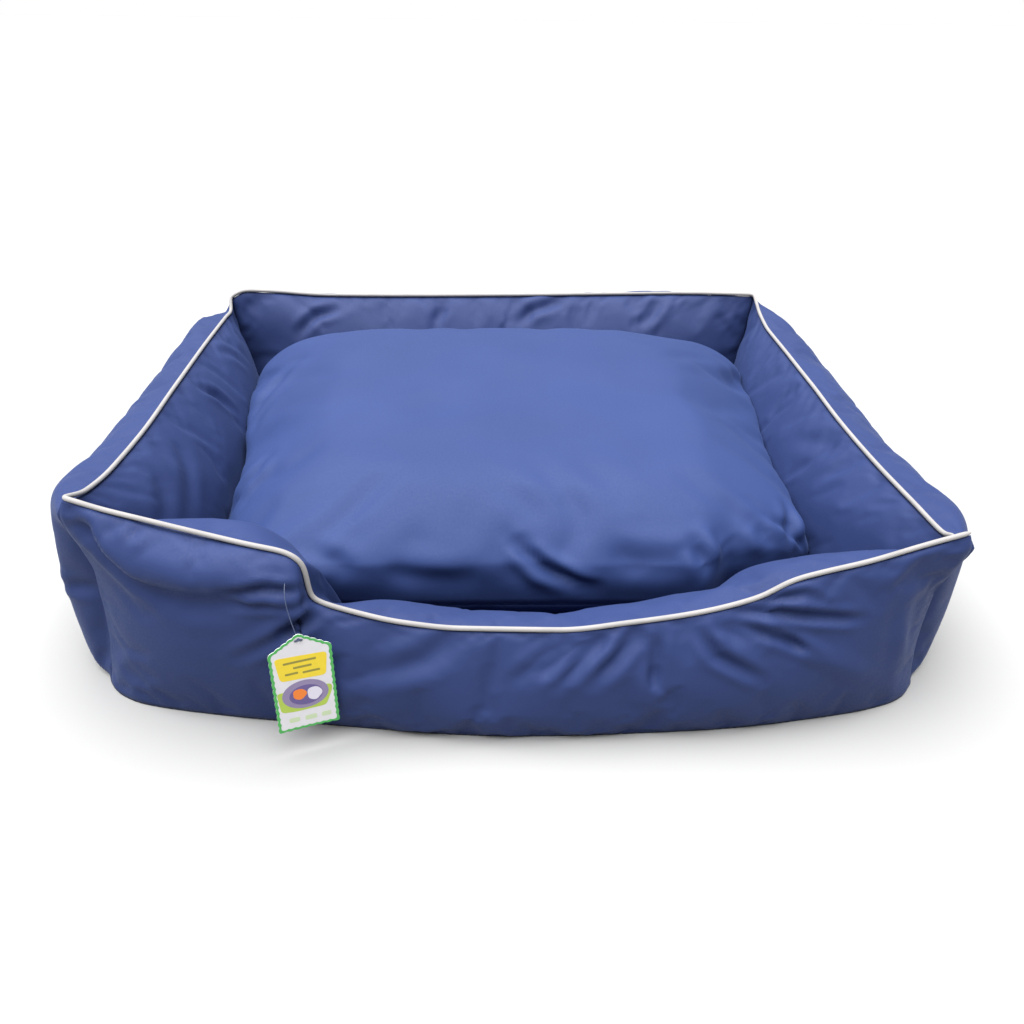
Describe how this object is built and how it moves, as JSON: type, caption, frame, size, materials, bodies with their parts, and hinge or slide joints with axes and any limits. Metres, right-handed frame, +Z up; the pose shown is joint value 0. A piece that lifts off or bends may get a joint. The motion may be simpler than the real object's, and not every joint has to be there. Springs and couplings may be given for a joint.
{
  "type": "pet cushion bed",
  "caption": "Rectangular pet bed with stuffed walls, a dipped front entry, piped rim, padded base and a loose zipped cushion; a hang tag hangs at the front.",
  "frame": {"origin": "middle of the bed's footprint, on the surface it stands on", "axes": "+Z up, +X to the right along the long side, -Y towards the low front entry"},
  "size_m": [0.9428, 0.8419, 0.2334],
  "materials": {
    "wall_fabric": "navy blue fine polyester weave with a soft sheen",
    "lining_fabric": "navy blue fine polyester weave with a soft sheen",
    "cushion_fabric": "mid blue smooth velour-like polyester",
    "piping_fabric": "off-white twill bias tape",
    "piping_core": "twisted white cotton cord",
    "fibre_filling": "white polyester fibre",
    "wadding": "white needled wadding",
    "non_slip_base": "dark coated non-slip base cloth",
    "zip_tape": "navy woven tape",
    "zip_coil": "navy nylon coil",
    "zip_metal": "nickel-plated",
    "tag_paper": "printed card",
    "tag_nylon": "dark nylon"
  },
  "bodies": {
    "bed": {"front_wall_outer_panel": "wall_fabric", "front_wall_inner_panel": "lining_fabric", "front_wall_filling": "fibre_filling", "left_wall_outer_panel": "wall_fabric", "left_wall_inner_panel": "lining_fabric", "left_wall_filling": "fibre_filling", "right_wall_outer_panel": "wall_fabric", "right_wall_inner_panel": "lining_fabric", "right_wall_filling": "fibre_filling", "back_wall_outer_panel": "wall_fabric", "back_wall_inner_panel": "lining_fabric", "back_wall_filling": "fibre_filling", "bottom_panel": "non_slip_base", "base_pad": "wadding", "floor_panel": "lining_fabric", "rim_piping_sleeve": "piping_fabric", "rim_piping_cord": "piping_core"},
    "cushion": {"cushion_top_panel": "cushion_fabric", "cushion_bottom_panel": "cushion_fabric", "cushion_filling": "fibre_filling", "zip_tape_upper": "zip_tape", "zip_tape_lower": "zip_tape", "zip_coil_upper": "zip_coil", "zip_coil_lower": "zip_coil", "zip_stop_left": "zip_metal", "zip_stop_right": "zip_metal"},
    "zip_slider": {"zip_slider": "zip_metal"},
    "zip_pull": {"zip_pull": "zip_metal"},
    "hang_tag": {"tag_card": "tag_paper", "tag_paddle": "tag_nylon", "tag_filament": "tag_nylon"}
  },
  "joints": [
    {"name": "cushion_lift", "type": "slide", "parent": "bed", "child": "cushion", "axis": [0, 0, 1], "range_m": [0, 0.3]},
    {"name": "zip_slide", "type": "slide", "parent": "cushion", "child": "zip_slider", "axis": [-1, 0, 0], "range_m": [0, 0.368]},
    {"name": "zip_pull_swing", "type": "hinge", "parent": "zip_slider", "child": "zip_pull", "pos_m": [0.1865, 0.29485, 0.1008], "axis": [0, 0, -1], "range_deg": [0, 30]},
    {"name": "tag_swing", "type": "hinge", "parent": "bed", "child": "hang_tag", "pos_m": [-0.216, -0.3904, 0.176], "axis": [-1, 0, 0], "range_deg": [0, 75]}
  ]
}
